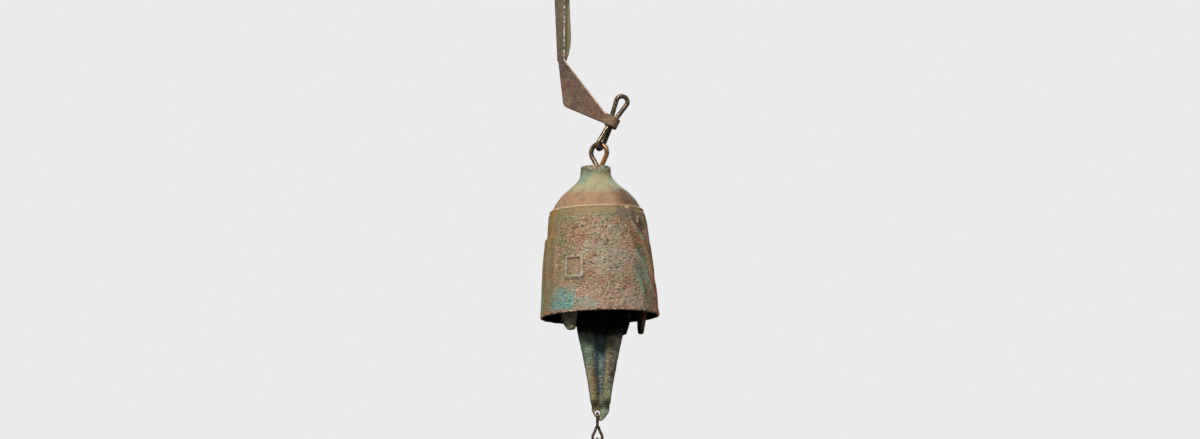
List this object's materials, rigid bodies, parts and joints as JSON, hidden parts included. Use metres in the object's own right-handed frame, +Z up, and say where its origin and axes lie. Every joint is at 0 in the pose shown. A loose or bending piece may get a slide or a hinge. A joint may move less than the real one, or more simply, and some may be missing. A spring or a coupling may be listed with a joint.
{
  "type": "wind bell",
  "caption": "Cast bronze wind bell with a fluted clapper, hung by wire links from a folded sheet hanger, with a short tail chain and a wind sail.",
  "frame": {"origin": "middle of the hang eye, in the middle of the hanger's sheet", "axes": "+Z up, +Y from the front of the bell to its back, +X to the right of the front view"},
  "size_m": [0.1, 0.1, 0.5615],
  "materials": {
    "cast_bronze": "rough sand-cast bronze, reddish brown with verdigris",
    "clapper_bronze": "cast bronze, olive with verdigris",
    "sheet_bronze": "aged sheet bronze with bright worn edges",
    "wire_bronze": "dark drawn bronze wire, worn bright in places"
  },
  "bodies": {
    "hanger": {"hanger_arm": "sheet_bronze"},
    "link": {"hanger_link": "wire_bronze"},
    "bell": {"bell_shell": "cast_bronze", "bell_loop": "wire_bronze"},
    "rod": {"clapper_rod": "wire_bronze"},
    "clapper": {"clapper": "clapper_bronze"},
    "tail_1": {"tail_link_1": "wire_bronze"},
    "tail_2": {"tail_link_2": "wire_bronze"},
    "tail_3": {"tail_link_3": "wire_bronze"},
    "tail_4": {"tail_link_4": "wire_bronze"},
    "ring": {"sail_ring": "wire_bronze"},
    "sail": {"sail": "sheet_bronze"}
  },
  "joints": [
    {"name": "link_swivel", "type": "hinge", "parent": "hanger", "child": "link", "pos_m": [0.02143, 0.0053, -0.11765], "axis": [0.4431, 0, 0.8965], "range_deg": [-60, 60]},
    {"name": "bell_swing", "type": "hinge", "parent": "link", "child": "bell", "pos_m": [0, 0.00619, -0.16194], "axis": [0.4615, 0.8872, 0], "range_deg": [-35, 35]},
    {"name": "rod_swing", "type": "hinge", "parent": "bell", "child": "rod", "pos_m": [0.00134, 0.00619, -0.20332], "axis": [0, 1, 0], "range_deg": [-1.6, 1.9]},
    {"name": "clapper_swing", "type": "hinge", "parent": "rod", "child": "clapper", "pos_m": [0.00134, 0.00619, -0.25932], "axis": [1, 0, 0], "range_deg": [-2.8, 2.8]},
    {"name": "tail_1_swing", "type": "hinge", "parent": "clapper", "child": "tail_1", "pos_m": [-0.00126, 0.00619, -0.38562], "axis": [0, 1, 0], "range_deg": [-35, 35]},
    {"name": "tail_2_swing", "type": "hinge", "parent": "tail_1", "child": "tail_2", "pos_m": [-0.00126, 0.00619, -0.40962], "axis": [1, 0, 0], "range_deg": [-35, 35]},
    {"name": "tail_3_swing", "type": "hinge", "parent": "tail_2", "child": "tail_3", "pos_m": [-0.00126, 0.00619, -0.42822], "axis": [0, 1, 0], "range_deg": [-35, 35]},
    {"name": "tail_4_swing", "type": "hinge", "parent": "tail_3", "child": "tail_4", "pos_m": [-0.00126, 0.00619, -0.45222], "axis": [1, 0, 0], "range_deg": [-35, 35]},
    {"name": "ring_swing", "type": "hinge", "parent": "tail_4", "child": "ring", "pos_m": [-0.00126, 0.00619, -0.47082], "axis": [0, 1, 0], "range_deg": [-35, 35]},
    {"name": "sail_swing", "type": "hinge", "parent": "ring", "child": "sail", "pos_m": [-0.00126, 0.00619, -0.47642], "axis": [1, 0, 0], "range_deg": [-35, 35]}
  ]
}
